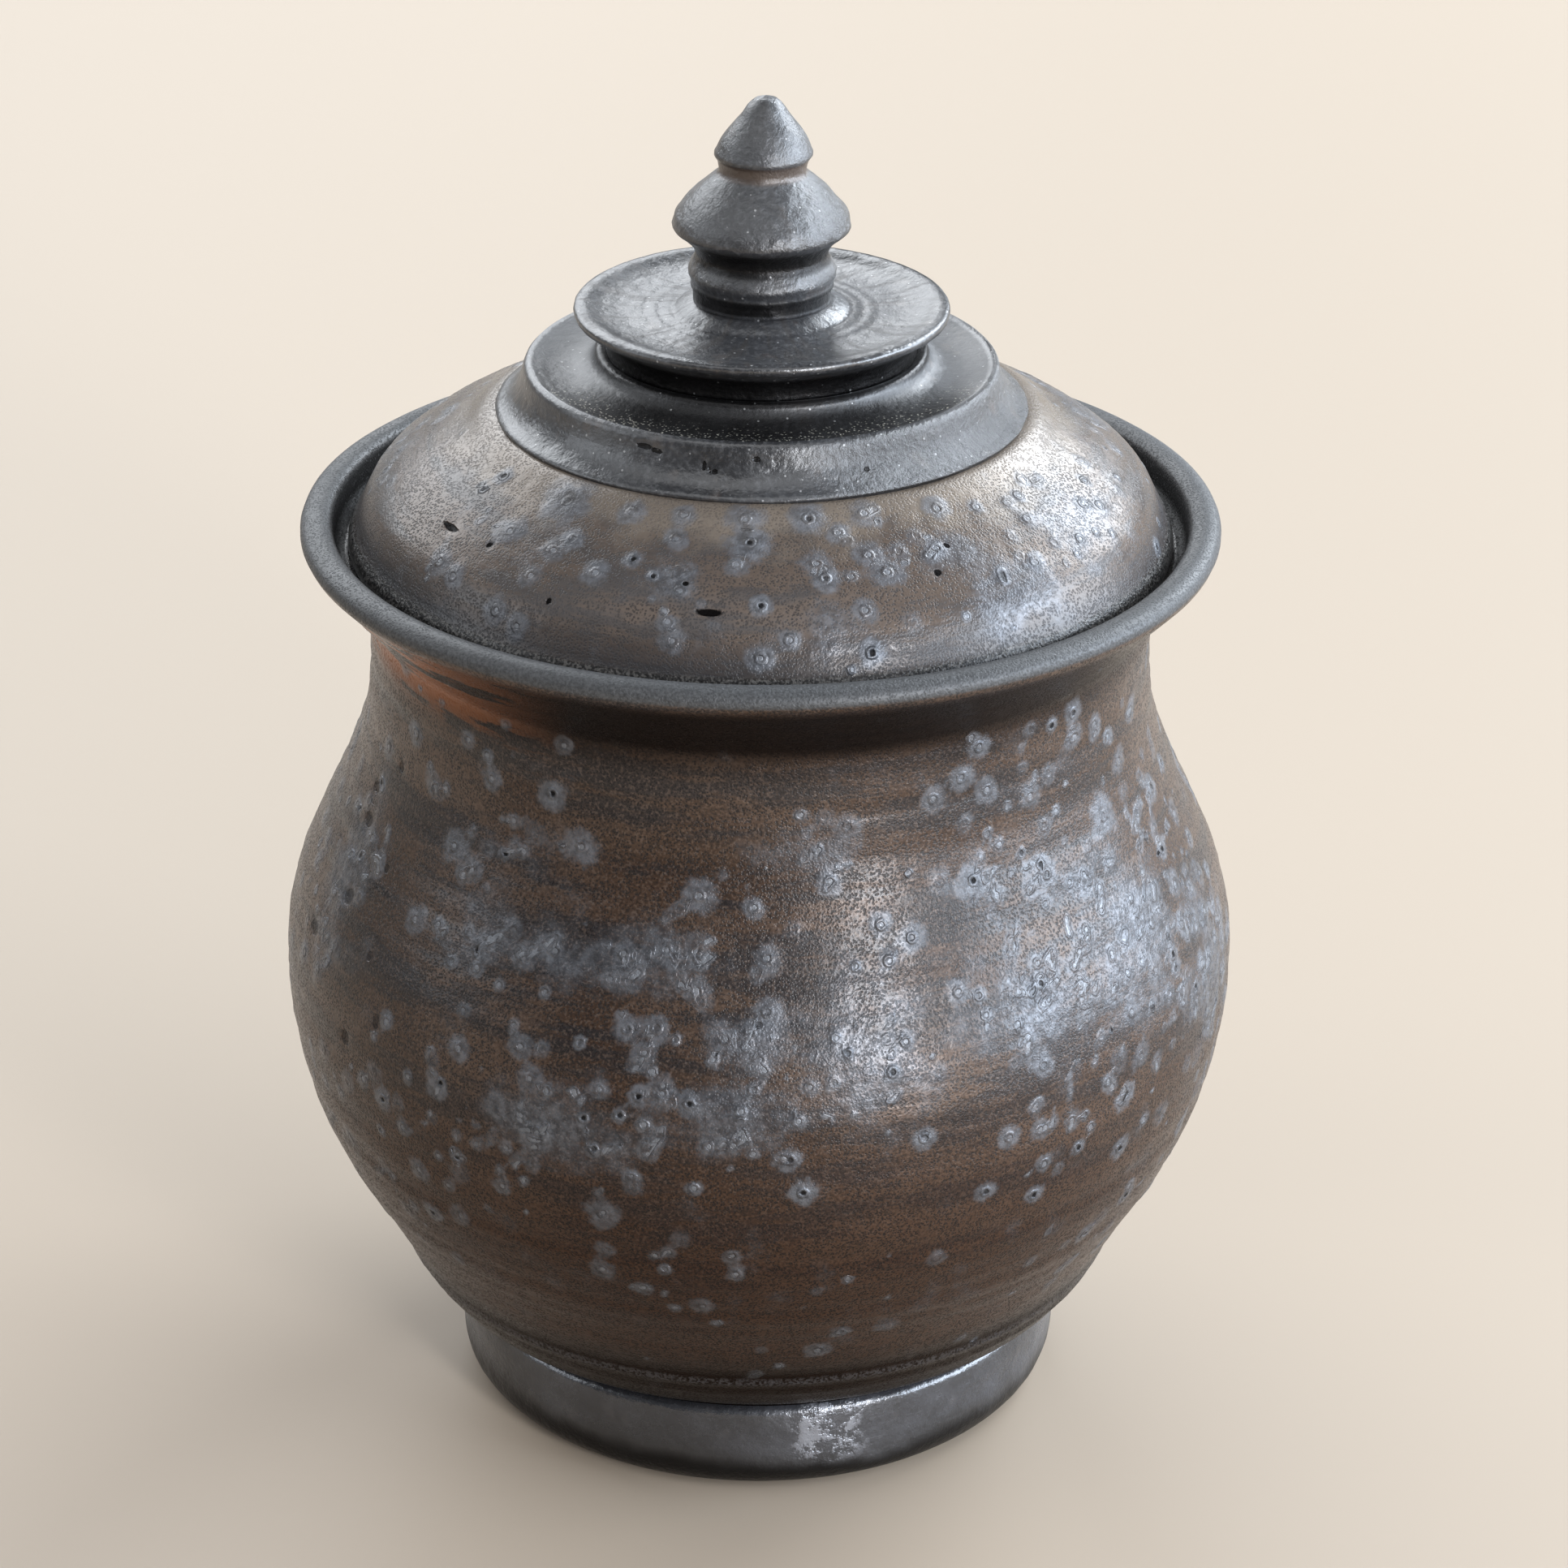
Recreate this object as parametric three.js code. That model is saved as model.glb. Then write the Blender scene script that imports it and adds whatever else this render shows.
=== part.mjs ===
// A wheel-thrown stoneware sugar jar with a loose lid, as its separately thrown sections.
// Millimetres, +Z up. The origin is the middle of the foot's resting face.
//
// Two loose pieces come off the bench, the jar and the lid. Each is built from sections that
// were thrown alone and luted together with slip, and each section is one solid here:
//   jar: bowl_body, foot_ring
//   lid: lid_dome, lid_collar, knob_saucer, knob_finial
import * as THREE from "three";

// Driving dimensions.
const wallThickness = 4.5; // the thrown wall of the bowl
const floorThickness = 6; // the bottom of the bowl, above the foot

const footRadius = 41.7; // outside of the foot ring
const footHeight = 13.5;
const footWidth = 8.2; // across the ring, from its outside to its inside
const footRound = 4.5; // rounding of the outer edge that meets the table
const footSoft = 1.2; // rounding of the foot's other edges
const grooveDepth = 0.9; // how far the groove above the foot is cut in
const grooveHeight = 1.3;

const ridgeRadius = 49.6; // the fine trimming ridge low on the bowl
const ridgeHeight = 22.8;
const bellyRadius = 64; // the widest place
const bellyHeight = 64.5;
const neckRadius = 51.4; // the waist under the rim
const neckBelowRim = 19.9;
const neckLength = 7; // the straight stretch above the waist
const rimHeight = 126.65; // top of the open jar
const rimWidth = 4.2; // across the top of the rim
const rimRound = 1.3; // how far the rim's top is crowned
const rimEdge = 0.7; // the upright outer edge of the rim

const ledgeWidth = 9; // the shelf inside the rim that carries the lid
const galleryDepth = 4.4; // from the top of the rim to that shelf
const galleryFillet = 1.1;
const mouthRound = 0.8;

const lidClearance = 1.9; // radial gap between the lid's edge and the gallery wall
const seatGap = 0.25; // height of the lid's seat above the ledge
const lidWall = 4.5;
const lidEdgeHeight = 2.6; // the upright edge of the lid, above its seat
const lidEdgeRound = 0.6;
const domeRise = 15.55; // from the lid's edge up to the collar
const domeEdgeAngle = 58; // slope of the dome where it leaves the edge, in degrees
const domeTopAngle = 26.5; // slope of the dome where it meets the collar, in degrees
const ceilingThickness = 3.25; // the closed top of the dome, under the collar

const collarRadius = 34.4; // foot of the collar
const collarTopRadius = 30.6;
const collarHeight = 6.5;
const collarEdge = 1.2; // the lip between the collar's edge and its dish
const dishDepth = 0.9;
const beadRadius = 0.8; // the bead of slip around the knob's neck
const beadHeight = 1.7; // top of the bead above the collar's edge

const saucerNeckRadius = 20;
const saucerRadius = 24.2;
const saucerHeight = 6.15; // from the knob's seat to the top of the saucer's edge
const saucerEdge = 1.2; // thickness of that edge
const saucerDish = 1.1; // how far the saucer is dished
const bossFlare = 2.6; // how far the foot of the finial flares out
const bossHeight = 0.6; // top of the saucer's boss above the saucer's edge

const finialNeckRadius = 8.85; // lowest neck of the finial, on the boss
const ringRadius = 9.55;
const ringHeight = 3.8; // this and the next heights are above the finial's seat
const waistRadius = 8.5;
const waistHeight = 6.1;
const bulbRadius = 11.45;
const bulbHeight = 10.05;
const tipNeckRadius = 5.55;
const tipNeckHeight = 17.2;
const tipRadius = 6.1;
const tipHeight = 19.6;
const finialHeight = 26.9;

const segments = 48; // around every turned piece

// Sizes that follow from the ones above.
const mouthRadius = neckRadius - wallThickness;
const galleryRadius = mouthRadius + ledgeWidth;
const rimRadius = galleryRadius + rimWidth;
const neckHeight = rimHeight - neckBelowRim;
const ledgeHeight = rimHeight - galleryDepth;
const lidRadius = galleryRadius - lidClearance;
const lidSeatHeight = ledgeHeight + seatGap;
const lidEdgeTop = lidSeatHeight + lidEdgeHeight;
const domeTop = lidEdgeTop + domeRise;
const collarTop = domeTop + collarHeight;
const knobSeat = collarTop + beadHeight - beadRadius / 2;
const saucerTop = knobSeat + saucerHeight;
const finialSeat = saucerTop + bossHeight;

const point = (radius, height) => new THREE.Vector2(radius, height);

// A cubic curve between two points, leaving and arriving by their handles.
const bezier = (start, leave, arrive, end) => new THREE.CubicBezierCurve(start, leave, arrive, end);

// A curve between two places where the outline runs straight up.
function upright(start, leave, arrive, end) {
  const first = point(start.x, start.y + leave);
  const last = point(end.x, end.y - arrive);
  return bezier(start, first, last, end);
}

// Part of an ellipse about a centre, from one angle to another, in degrees.
function ellipse(centre, acrossRadius, upRadius, from, to) {
  const [start, end] = [from, to].map(THREE.MathUtils.degToRad);
  return new THREE.EllipseCurve(centre.x, centre.y, acrossRadius, upRadius, start, end, from > to);
}

const arc = (centre, radius, from, to) => ellipse(centre, radius, radius, from, to);

// A curve as points. Its wall's other face is the same curve moved to its left, end to start.
const along = (curve, steps) => curve.getPoints(steps);

function otherFace(curve, thickness, steps) {
  const points = [];
  for (let i = steps; i >= 0; i -= 1) {
    const here = curve.getPoint(i / steps);
    const heading = curve.getTangent(i / steps);
    points.push(point(here.x - heading.y * thickness, here.y + heading.x * thickness));
  }
  return points;
}

// A solid of revolution about +Z, from stretches of outline listed anticlockwise.
function turned(name, material, ...stretches) {
  const all = stretches.flat();
  const outline = all.filter((p, i) => i === 0 || p.distanceTo(all[i - 1]) > 1e-3);
  const geometry = new THREE.LatheGeometry(outline, segments);
  geometry.rotateX(Math.PI / 2);
  const mesh = new THREE.Mesh(geometry, material);
  mesh.name = name;
  return mesh;
}

const brownGlaze = () =>
  new THREE.MeshStandardMaterial({ color: 0x4b3d34, roughness: 0.42, metalness: 0.2 });
const gunmetalGlaze = () =>
  new THREE.MeshStandardMaterial({ color: 0x3c3e42, roughness: 0.34, metalness: 0.55 });

// The foot ring: a thrown coil, rounded where it meets the table, flat on top for the bowl.
function footRing() {
  const inner = footRadius - footWidth;
  return turned(
    "foot_ring",
    gunmetalGlaze(),
    point(inner + footSoft, 0),
    along(arc(point(footRadius - footRound, footRound), footRound, -90, 0), 4),
    along(arc(point(footRadius - footSoft, footHeight - footSoft), footSoft, 0, 90), 3),
    point(inner, footHeight),
    along(arc(point(inner + footSoft, footSoft), footSoft, 180, 270), 3),
  );
}

// The bowl: belly, neck and flared rim in one thrown wall, with a gallery cut inside the rim.
function bowlBody() {
  const grooveRadius = footRadius - grooveDepth;
  const grooveTop = point(grooveRadius, footHeight + grooveHeight);
  const ridge = point(ridgeRadius, ridgeHeight);
  const belly = point(bellyRadius, bellyHeight);
  const neck = point(neckRadius, neckHeight);
  const neckTop = point(neckRadius, neckHeight + neckLength);
  const rimFoot = point(rimRadius, rimHeight - rimRound - rimEdge);
  const rimCentre = point(galleryRadius + rimWidth / 2, rimHeight - rimRound);

  const sweepCorner = point(ridgeRadius - 2.6, grooveTop.y + 1);
  const sweep = new THREE.QuadraticBezierCurve(grooveTop, sweepCorner, ridge);
  const ridgeLeave = point(ridge.x + 5.4, ridge.y + 11.4);
  const lower = bezier(ridge, ridgeLeave, point(belly.x, belly.y - 22.3), belly);
  const upper = upright(belly, 15.4, 16, neck);
  const flareArrive = point(rimFoot.x - 2.2, rimFoot.y - 3.4);
  const flare = bezier(neckTop, point(neckRadius, neckTop.y + 2), flareArrive, rimFoot);

  const floorTop = footHeight + floorThickness;
  const lowerInside = otherFace(lower, wallThickness, 7);
  const wallFoot = lowerInside[lowerInside.length - 1];
  const heading = lower.getTangent(0);
  const cornerRadius = wallFoot.x - ((wallFoot.y - floorTop) * heading.x) / heading.y;
  const floorEdge = point(cornerRadius - 9, floorTop);
  const corner = new THREE.QuadraticBezierCurve(wallFoot, point(cornerRadius, floorTop), floorEdge);
  const galleryCorner = point(galleryRadius - galleryFillet, ledgeHeight + galleryFillet);

  return turned(
    "bowl_body",
    brownGlaze(),
    point(0, footHeight),
    point(grooveRadius, footHeight),
    along(sweep, 4),
    along(lower, 9),
    along(upper, 11),
    along(flare, 5),
    along(ellipse(rimCentre, rimWidth / 2, rimRound, 0, 180), 6),
    along(arc(galleryCorner, galleryFillet, 0, -90), 2),
    along(arc(point(mouthRadius + mouthRound, ledgeHeight - mouthRound), mouthRound, 90, 180), 2),
    otherFace(upper, wallThickness, 8),
    lowerInside,
    along(corner, 4),
    point(0, floorTop),
  );
}

// The dome of the lid: a thrown shell whose edge sits on the ledge, closed under the collar.
function lidDome() {
  const edgeTop = point(lidRadius - lidEdgeRound, lidEdgeTop);
  const top = point(collarRadius, domeTop);
  const span = edgeTop.distanceTo(top);
  const [edgeSlope, topSlope] = [domeEdgeAngle, domeTopAngle].map(THREE.MathUtils.degToRad);
  const edgeHandle = point(-Math.cos(edgeSlope), Math.sin(edgeSlope)).multiplyScalar(0.27 * span);
  const topHandle = point(Math.cos(topSlope), -Math.sin(topSlope)).multiplyScalar(0.85 * span);
  const dome = bezier(edgeTop, edgeTop.clone().add(edgeHandle), top.clone().add(topHandle), top);

  const inside = otherFace(dome, lidWall, 9).filter((p) => p.y > lidSeatHeight);
  const shoulder = inside[0];
  const ceiling = domeTop - ceilingThickness;
  const ceilingRadius = shoulder.x - (ceiling - shoulder.y) / Math.tan(topSlope);
  const vault = new THREE.QuadraticBezierCurve(
    point(ceilingRadius - 7, ceiling),
    point(ceilingRadius, ceiling),
    shoulder,
  );
  const seatInside = point(inside[inside.length - 1].x, lidSeatHeight);
  const seatCorner = point(lidRadius - lidEdgeRound, lidSeatHeight + lidEdgeRound);

  return turned(
    "lid_dome",
    brownGlaze(),
    point(0, ceiling),
    along(vault, 4),
    inside,
    seatInside,
    along(arc(seatCorner, lidEdgeRound, -90, 0), 3),
    along(dome, 12),
    point(0, domeTop),
  );
}

// The collar: a turned ring on the dome, dished on top around the bead at the knob's neck.
function lidCollar() {
  const lipRadius = collarTopRadius - collarEdge;
  const lip = point(lipRadius, collarTop - 0.2);
  const edge = point(collarTopRadius, collarTop - 0.5);
  const foot = point(collarRadius, domeTop + 0.4);
  const side = bezier(
    foot,
    point(collarRadius - 2.6, domeTop + 1.4),
    point(edge.x + 0.6, edge.y - 2),
    edge,
  );
  const beadCentre = point(saucerNeckRadius + beadRadius, collarTop + beadHeight - beadRadius);
  const dishFoot = point(beadCentre.x + beadRadius, beadCentre.y);
  const dish = bezier(
    lip,
    point(lip.x - 3, collarTop - dishDepth - 0.3),
    point(dishFoot.x + 0.6, collarTop - dishDepth - 0.3),
    dishFoot,
  );
  return turned(
    "lid_collar",
    gunmetalGlaze(),
    point(0, domeTop),
    point(collarRadius, domeTop),
    along(side, 6),
    point(collarTopRadius - 0.5, collarTop),
    along(dish, 7),
    along(arc(beadCentre, beadRadius, 0, 150), 4),
    point(saucerNeckRadius, knobSeat),
    point(0, knobSeat),
  );
}

// The knob's saucer: a neck that flares to a thin-edged dish, with a boss for the finial.
function knobSaucer() {
  const seat = point(saucerNeckRadius, knobSeat);
  const edgeFoot = point(saucerRadius - 0.2, saucerTop - saucerEdge);
  const flare = bezier(
    seat,
    point(seat.x - 0.2, seat.y + 2.6),
    point(edgeFoot.x - 2.4, edgeFoot.y - 1.4),
    edgeFoot,
  );
  const edgeCentre = point(saucerRadius - saucerEdge / 2, saucerTop - saucerEdge / 2);
  const boss = point(finialNeckRadius, finialSeat);
  const dish = bezier(
    point(saucerRadius - saucerEdge, saucerTop),
    point(saucerRadius - 5, saucerTop - saucerDish),
    point(boss.x + bossFlare + 4.5, saucerTop - saucerDish),
    point(boss.x + bossFlare, saucerTop - saucerDish / 2),
  );
  return turned(
    "knob_saucer",
    gunmetalGlaze(),
    point(0, knobSeat),
    along(flare, 6),
    along(arc(edgeCentre, saucerEdge / 2, 0, 60), 2),
    along(dish, 5),
    point(boss.x + bossFlare / 3, saucerTop + bossHeight / 2),
    boss,
    point(0, finialSeat),
  );
}

// The finial: a ringed neck, an onion-shaped bulb and a small pointed tip.
function knobFinial() {
  const at = (radius, height) => point(radius, finialSeat + height);
  const seat = at(finialNeckRadius, 0);
  const ring = at(ringRadius, ringHeight);
  const waist = at(waistRadius, waistHeight);
  const bulb = at(bulbRadius, bulbHeight);
  const tipNeck = at(tipNeckRadius, tipNeckHeight);
  const tip = at(tipRadius, tipHeight);
  const top = at(0, finialHeight);
  return turned(
    "knob_finial",
    gunmetalGlaze(),
    at(0, 0),
    along(upright(seat, 2.6, 0.3, ring), 4),
    along(upright(ring, 0.9, 0.4, waist), 4),
    along(upright(waist, 2.2, 0.8, bulb), 6),
    along(upright(bulb, 2.6, 0.3, tipNeck), 7),
    along(upright(tipNeck, 0.8, 1, tip), 4),
    along(bezier(tip, point(tip.x, tip.y + 1.6), point(1.3, top.y), top), 6),
  );
}

const jar = new THREE.Group();
jar.add(bowlBody(), footRing());

const lid = new THREE.Group();
lid.add(lidDome(), lidCollar(), knobSaucer(), knobFinial());

const sugarJar = new THREE.Group();
sugarJar.add(jar, lid);

export default sugarJar;
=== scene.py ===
# %% [markdown]
# # A lidded stoneware sugar jar
# The real jar is thrown on a potter's wheel in sections: a bowl on a foot ring, and a lid made
# of a dome, a collar, a saucer-shaped knob and a pointed finial. Every section is round, so each
# could be a lathe-turned shape, a subdivided cylinder or a sculpted lump. Turning fits best,
# because that is how clay is thrown. The CAD model holds the true sizes, so it is loaded first
# as a fixed frame, and every piece here is turned from the section of its own CAD solid.

# %% Load the frame
import random
from math import atan2, cos, degrees, hypot, pi, radians, sin

import bmesh
import bpy
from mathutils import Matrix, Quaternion, Vector, noise
from mathutils.kdtree import KDTree


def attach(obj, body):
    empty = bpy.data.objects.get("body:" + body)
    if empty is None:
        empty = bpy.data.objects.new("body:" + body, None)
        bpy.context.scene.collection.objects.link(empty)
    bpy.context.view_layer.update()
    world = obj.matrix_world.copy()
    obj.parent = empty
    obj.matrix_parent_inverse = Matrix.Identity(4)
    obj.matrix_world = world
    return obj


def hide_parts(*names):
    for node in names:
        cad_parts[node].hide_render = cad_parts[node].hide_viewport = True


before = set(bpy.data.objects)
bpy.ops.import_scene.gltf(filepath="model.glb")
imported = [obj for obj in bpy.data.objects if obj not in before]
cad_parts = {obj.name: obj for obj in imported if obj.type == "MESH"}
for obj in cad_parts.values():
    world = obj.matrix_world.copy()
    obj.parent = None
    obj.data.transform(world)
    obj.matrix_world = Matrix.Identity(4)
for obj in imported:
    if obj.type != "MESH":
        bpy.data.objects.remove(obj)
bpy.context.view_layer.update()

MM = 0.001
scene = bpy.context.scene

# %% [markdown]
# ## The camera
# A jar on a table is seen from a little above, with a long lens that keeps its outline calm.
# The camera could be placed with a Track To constraint. A rotation worked out once is simpler,
# because nothing has to follow anything. The last small turn about the line of sight is the tilt
# of a camera that is held in the hand.

# %% Camera
FOCAL_LENGTH = 104.35  # mm, on a frame 36 mm wide
HAND_TILT = 0.378  # degrees

eye = Vector((0, -552.88, 350.33)) * MM
aim = Vector((3.237, 0, 86.1)) * MM
lens = bpy.data.cameras.new("jar_camera")
lens.lens = FOCAL_LENGTH
lens.sensor_width = 36
lens.clip_start = 10 * MM
camera = bpy.data.objects.new("jar_camera", lens)
camera.location = eye
camera.rotation_mode = "QUATERNION"
hand_tilt = Quaternion((0, 0, 1), radians(HAND_TILT))
camera.rotation_quaternion = (aim - eye).to_track_quat("-Z", "Y") @ hand_tilt
scene.collection.objects.link(camera)
scene.camera = camera
print("camera", round((aim - eye).length, 3), "m from the jar")

# %% [markdown]
# ## The table and the light
# The jar stands on a plain pale table in daylight. A large window behind it on the right gives the
# bright sheen on the right of the dome and the knob. A tall, narrow one in front on the right
# gives the upright streak on the belly, and a wide stretch of sky fills the belly's right side. A
# pale wall behind lights the top faces, a smaller one lights the left edge, and the ceiling lifts
# the front a little. An image of a sky could light the scene too, but area lights keep the
# reflections plain and easy to move.


# %% Floor
FLOOR_GAP = 0.2 * MM  # keeps the table clear of the foot's resting face


def shade(name, colour, roughness):
    plain = bpy.data.materials.new(name)
    plain.use_nodes = True
    face = plain.node_tree.nodes["Principled BSDF"]
    face.inputs["Base Color"].default_value = (*colour, 1)
    face.inputs["Roughness"].default_value = roughness
    return plain


sheet = bmesh.new()
bmesh.ops.create_grid(sheet, x_segments=1, y_segments=1, size=6)
table_mesh = bpy.data.meshes.new("pale_table")
sheet.to_mesh(table_mesh)
sheet.free()
table_mesh.materials.append(shade("pale_table", (0.39, 0.32, 0.25), 0.6))
table = bpy.data.objects.new("pale_table", table_mesh)
table.location.z = -FLOOR_GAP
scene.collection.objects.link(table)
print("table", len(table_mesh.polygons), "face")


# %% Lights
JAR_MIDDLE = Vector((0, 0, 0.09))
ROOM_STRENGTH = 0.16
# Azimuth and elevation in degrees, distance, width and height in metres, watts and colour.
PANES = {
    "window_behind_right": (45, 30, 2.7, 1.8, 1.15, 98, (0.86, 0.93, 1.0)),
    "window_front_right": (-59, 13, 1.1, 0.16, 0.46, 10.5, (0.94, 0.96, 1.0)),
    "sky_right": (-6, 15, 3.2, 3.2, 1.5, 200, (0.78, 0.88, 1.0)),
    "pale_wall_behind": (118, 30, 2.8, 3.1, 1.65, 78, (0.92, 0.96, 1.0)),
    "ceiling": (-100, 64, 1.4, 2.2, 1.0, 7.5, (0.98, 0.99, 1.0)),
    "pale_wall_left": (-174, 22, 1.9, 0.85, 0.9, 6.5, (0.90, 0.95, 1.0)),
}


def softbox(name, azimuth, elevation, distance, width, height, watts, colour):
    """A rectangle of light that faces the middle of the jar."""
    pane = bpy.data.lights.new(name, "AREA")
    pane.shape = "RECTANGLE"
    pane.size, pane.size_y = width, height
    pane.energy = watts
    pane.color = colour
    window = bpy.data.objects.new(name, pane)
    out = Vector((cos(radians(azimuth)), sin(radians(azimuth)), 0)) * cos(radians(elevation))
    out.z = sin(radians(elevation))
    window.location = JAR_MIDDLE + out * distance
    window.rotation_mode = "QUATERNION"
    window.rotation_quaternion = (-out).to_track_quat("-Z", "Y")
    window.visible_camera = False
    scene.collection.objects.link(window)
    print(name, "at", [round(c, 2) for c in window.location])


for name, pane in PANES.items():
    softbox(name, *pane)

room = bpy.data.worlds.new("room")
room.use_nodes = True
dim_room = room.node_tree.nodes["Background"]
dim_room.inputs["Color"].default_value = (0.82, 0.85, 0.9, 1)
dim_room.inputs["Strength"].default_value = ROOM_STRENGTH
scene.world = room
scene.view_settings.view_transform = "Standard"

# %% [markdown]
# ## Reading a section and turning it
# A template cut to half the section is what a potter holds against the clay. The CAD solid is
# cut through its middle with bisect_plane, and the cut is walked from end to end as radius and
# height. CAD keeps few points, so a smooth curve is drawn through them. The places that turn
# sharply stay sharp, and a long straight side stays straight where it meets a curve. Spinning the
# refined line makes the clay shape. A screw modifier would do it too, but the spin operator closes
# its own seam.


# %% Read half the section of a CAD piece
def section_of(node):
    """The outline of a turned piece as (radius, height) vectors, walked from end to end."""
    half = bmesh.new()
    half.from_mesh(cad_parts[node].data)
    bmesh.ops.remove_doubles(half, verts=half.verts, dist=1e-6)
    everything = half.verts[:] + half.edges[:] + half.faces[:]
    bmesh.ops.bisect_plane(
        half, geom=everything, dist=1e-6, plane_co=(0, 0, 0), plane_no=(0, 1, 0),
        clear_inner=True, clear_outer=True,
    )
    bmesh.ops.delete(half, geom=[v for v in half.verts if v.co.x < -1e-6], context="VERTS")
    bmesh.ops.remove_doubles(half, verts=half.verts, dist=2e-6)
    ends = [v for v in half.verts if len(v.link_edges) == 1]
    here = min(ends or half.verts[:], key=lambda v: (v.co.z, v.co.x))
    walked, line = set(), []
    while here is not None:
        walked.add(here)
        line.append(Vector((here.co.x, here.co.z)))
        onward = [e.other_vert(here) for e in here.link_edges]
        onward = [v for v in onward if v not in walked]
        here = max(onward, key=lambda v: v.co.x, default=None)
    half.free()
    return line, not ends


# %% Draw a smooth curve through the section
SHARP_TURN = radians(38)  # a turn above this is a trimmed corner
SLIGHT_TURN = radians(8)  # a turn below this is part of one curve
LONG_SIDE = 6.5 * MM  # a side longer than this is a straight line of the clay


def heading_at(line, i, closed):
    """Which way the line runs through a point. A sharp corner gives None."""
    count = len(line)
    if not closed and (i == 0 or i == count - 1):
        return None
    before = line[i] - line[i - 1]
    after = line[(i + 1) % count] - line[i]
    if before.length < 1e-9 or after.length < 1e-9 or before.angle(after) > SHARP_TURN:
        return None
    for side in (before, after):
        if side.length > LONG_SIDE and before.angle(after) > SLIGHT_TURN:
            return side.normalized()
    blend = before / before.length * after.length + after / after.length * before.length
    return blend.normalized()


def refined(line, spacing, closed=False):
    """The same line with more points. spacing(i) is the step after point i, in metres."""
    drawn = []
    count = len(line)
    for i in range(count if closed else count - 1):
        start, end = line[i], line[(i + 1) % count]
        reach = (end - start).length
        straight = (end - start).normalized()
        leave = heading_at(line, i, closed) or straight
        arrive = heading_at(line, (i + 1) % count, closed) or straight
        steps = max(1, round(reach / spacing(i)))
        for k in range(steps):
            t = k / steps
            a, b = 2 * t**3 - 3 * t**2 + 1, t**3 - 2 * t**2 + t
            c, d = -2 * t**3 + 3 * t**2, t**3 - t**2
            drawn.append(start * a + leave * (b * reach) + end * c + arrive * (d * reach))
    if not closed:
        drawn.append(line[-1])
    return drawn


# %% Spin a line into a closed piece
def turned(name, line, closed, rounds):
    """Spins a line about the wheel's axis into a piece whose faces point outwards."""
    clay = bmesh.new()
    ring = [clay.verts.new((p.x, 0, p.y)) for p in line]
    pairs = list(zip(ring, ring[1:] + ring[:1] if closed else ring[1:]))
    edges = [clay.edges.new(pair) for pair in pairs]
    bmesh.ops.spin(
        clay, geom=ring + edges, cent=(0, 0, 0), axis=(0, 0, 1), dvec=(0, 0, 0),
        angle=2 * pi, steps=rounds, use_merge=True, use_duplicate=False,
    )
    bmesh.ops.remove_doubles(clay, verts=clay.verts, dist=1e-6)
    bmesh.ops.recalc_face_normals(clay, faces=clay.faces)
    for face in clay.faces:
        face.smooth = True
    clay.normal_update()
    mesh = bpy.data.meshes.new(name)
    clay.to_mesh(mesh)
    triangles = sum(len(f.verts) - 2 for f in clay.faces)
    open_edges = sum(1 for e in clay.edges if len(e.link_faces) != 2)
    clay.free()
    print(name, triangles, "triangles,", open_edges, "open edges")
    piece = bpy.data.objects.new(name, mesh)
    scene.collection.objects.link(piece)
    return piece


# %% [markdown]
# ## Glaze blisters
# Gas that leaves the clay in the kiln bubbles through the glaze. Each bubble leaves a low swell a
# few millimetres wide, a pale blue-grey halo where the glaze crystallised, and often a pinhole.
# A procedural cell texture could scatter them, but it can't make the swell and the halo agree.
# So the blisters are placed as points on the surface: the large ones listed one by one, the rest
# by a seeded scatter that thins out where few show. Each vertex then stores how far it is from its
# nearest blister, and both the shape and the glaze read that.


# %% Find a place on a section
def soft_step(low, high, value):
    """Goes smoothly from 0 at low to 1 at high. Low may be the larger of the two."""
    t = min(1, max(0, (value - low) / (high - low)))
    return t * t * (3 - 2 * t)


def radius_at(line, height):
    """Outside radius of a section at a height."""
    for a, b in zip(line, line[1:]):
        if min(a.y, b.y) <= height <= max(a.y, b.y) and a.y != b.y:
            return a.x + (b.x - a.x) * (height - a.y) / (b.y - a.y)
    return line[-1].x


def height_at(line, radius):
    """Height of a section at a radius."""
    for a, b in zip(line, line[1:]):
        if min(a.x, b.x) <= radius <= max(a.x, b.x) and a.x != b.x:
            return a.y + (b.y - a.y) * (radius - a.x) / (b.x - a.x)
    return line[-1].y


def on_wall(line, azimuth, height):
    """The point of a turned wall at an azimuth and a height."""
    radius = radius_at(line, height)
    return Vector((radius * cos(radians(azimuth)), radius * sin(radians(azimuth)), height))


def on_dome(line, azimuth, radius):
    """The point of a turned dome at an azimuth and a radius."""
    where = radius * cos(radians(azimuth)), radius * sin(radians(azimuth))
    return Vector((*where, height_at(line, radius)))


def turn_between(azimuth, middle):
    """Degrees from middle to azimuth, the short way round."""
    return (azimuth - middle + 180) % 360 - 180


# %% Keep the blisters
NEIGHBOURS = 6  # how many blister middles are weighed, since a large halo reaches farther


class Blisters:
    """Points on a glazed surface, each with a size in metres, a pit depth and a tone."""

    def __init__(self):
        self.points, self.sizes, self.pits, self.tones = [], [], [], []

    def add(self, point, size, pit, tone):
        self.points.append(point)
        self.sizes.append(size * MM)
        self.pits.append(pit)
        self.tones.append(tone)

    def ready(self):
        """Sorts the points, so that the nearest is quick to find."""
        self.tree = KDTree(len(self.points))
        for i, point in enumerate(self.points):
            self.tree.insert(point, i)
        self.tree.balance()
        print(len(self.points), "blisters")

    def nearest(self, point):
        """The blister whose halo is nearest, and the distance in halo widths."""
        found = [(far / self.sizes[i], i) for _, i, far in self.tree.find_n(point, NEIGHBOURS)]
        return min(found)


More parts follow.
